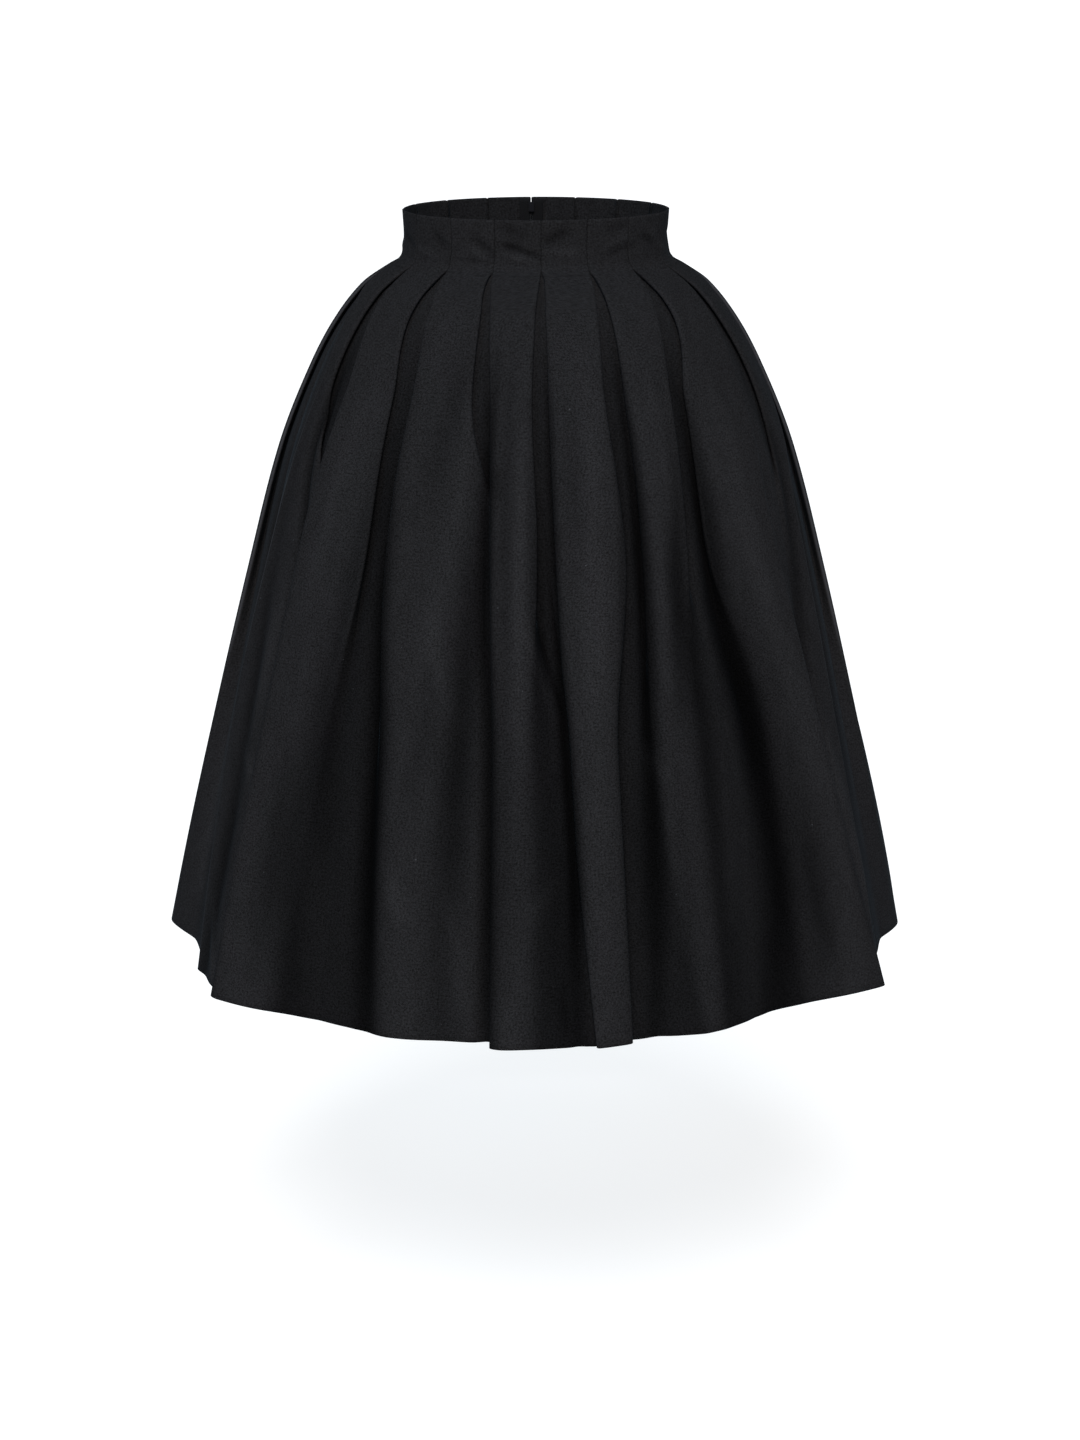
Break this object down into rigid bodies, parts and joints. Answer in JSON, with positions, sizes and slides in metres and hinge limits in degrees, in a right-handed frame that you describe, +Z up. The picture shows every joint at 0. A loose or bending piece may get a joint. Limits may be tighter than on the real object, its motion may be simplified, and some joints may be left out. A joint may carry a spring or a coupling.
{
  "type": "high-waisted pleated skirt",
  "caption": "Knee-length high-waisted skirt in stiff black twill, cut in one with its waist, with inverted box pleats released below the waist and a concealed zip at centre back.",
  "frame": {"origin": "centre of the wearer's natural waist, 30 mm below the skirt's top edge", "axes": "+Z up, the front of the skirt faces -Y, +X is the wearer's left"},
  "size_m": [0.7234, 0.6934, 0.7067],
  "materials": {
    "twill": "stiff black cotton twill with a soft dull sheen",
    "zip_tape": "matte black woven tape",
    "zip_metal": "satin black lacquered metal"
  },
  "bodies": {
    "skirt": {"front_panel_left": "twill", "front_panel_right": "twill", "back_panel_left": "twill", "back_panel_right": "twill", "zip_tape_left": "zip_tape", "zip_tape_right": "zip_tape", "zip_slider": "zip_metal"},
    "pull": {"zip_pull": "zip_metal"}
  },
  "joints": [
    {"name": "pull_tab", "type": "hinge", "parent": "skirt", "child": "pull", "pos_m": [0, 0.09347, 0.0215], "axis": [1, 0, 0], "range_deg": [0, 165]}
  ]
}
